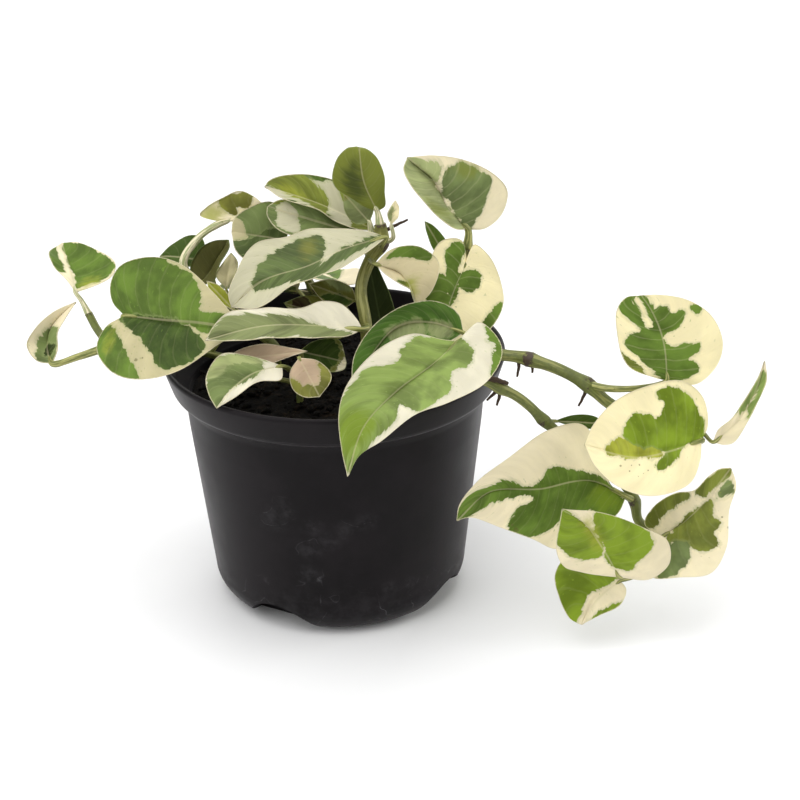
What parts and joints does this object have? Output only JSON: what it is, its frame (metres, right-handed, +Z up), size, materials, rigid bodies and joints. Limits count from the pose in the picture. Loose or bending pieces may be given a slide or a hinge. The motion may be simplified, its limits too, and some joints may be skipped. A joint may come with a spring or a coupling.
{
  "type": "potted pothos plant",
  "caption": "Pothos with cream and green heart-shaped leaves in a round tapered nursery pot, with two leafy vines trailing over one side.",
  "frame": {"origin": "middle of the pot's flat base, on the surface it stands on", "axes": "+Z up along the pot's axis, +X towards the side that the two vines trail over, -Y towards the side that the leaves face"},
  "size_m": [0.2602, 0.1392, 0.17],
  "materials": {
    "pot_plastic": "near-black moulded plastic, semi-matte, scuffed",
    "potting_soil": "nearly black damp potting soil",
    "stem_green": "olive-green stem, satin",
    "leaf_green": "waxy leaf, soft gloss",
    "leaf_grey_green": "waxy leaf, soft gloss",
    "leaf_deep_green": "waxy leaf, soft gloss",
    "leaf_cream": "waxy leaf, soft gloss",
    "leaf_butter": "waxy leaf, soft gloss",
    "leaf_olive": "waxy leaf, soft gloss"
  },
  "bodies": {
    "root": {"pot": "pot_plastic", "soil": "potting_soil", "stem_back": "stem_green", "stem_back_left": "stem_green", "stem_crown": "stem_green", "stem_front": "stem_green", "stem_left": "stem_green", "stem_right": "stem_green", "vine_lower": "stem_green", "vine_upper": "stem_green", "leaf_back_curled": "leaf_olive", "leaf_back_dark": "leaf_deep_green", "leaf_back_folded": "leaf_deep_green", "leaf_back_olive": "leaf_olive", "leaf_back_pale": "leaf_grey_green", "leaf_crown_green": "leaf_deep_green", "leaf_crown_right": "leaf_cream", "leaf_crown_sheath": "leaf_cream", "leaf_crown_wing": "leaf_butter", "leaf_front_dark": "leaf_deep_green", "leaf_front_large": "leaf_green", "leaf_inner_brown": "leaf_olive", "leaf_inner_dark": "leaf_deep_green", "leaf_inner_olive": "leaf_olive", "leaf_left_large": "leaf_green", "leaf_left_rolled": "leaf_olive", "leaf_left_top": "leaf_green", "leaf_mid_drooping": "leaf_cream", "leaf_mid_flat": "leaf_grey_green", "leaf_mid_long": "leaf_cream", "leaf_mid_olive": "leaf_grey_green", "leaf_mid_round": "leaf_grey_green", "leaf_mid_striped": "leaf_olive", "leaf_rear_high": "leaf_green", "leaf_rear_left": "leaf_grey_green", "leaf_rear_middle": "leaf_cream", "leaf_rear_right": "leaf_green", "leaf_rear_small": "leaf_grey_green", "leaf_right_cream": "leaf_butter", "leaf_right_spear": "leaf_green", "leaf_rim_cream": "leaf_cream", "leaf_rim_left": "leaf_grey_green", "leaf_rim_round": "leaf_olive", "leaf_rim_shaded": "leaf_deep_green", "leaf_trail_large": "leaf_cream", "leaf_trail_lime": "leaf_green", "leaf_trail_low": "leaf_green", "leaf_trail_right": "leaf_cream", "leaf_trail_sliver": "leaf_deep_green", "leaf_vine_cream": "leaf_butter", "leaf_vine_rolled": "leaf_cream", "leaf_vine_round": "leaf_butter"}
  },
  "joints": []
}
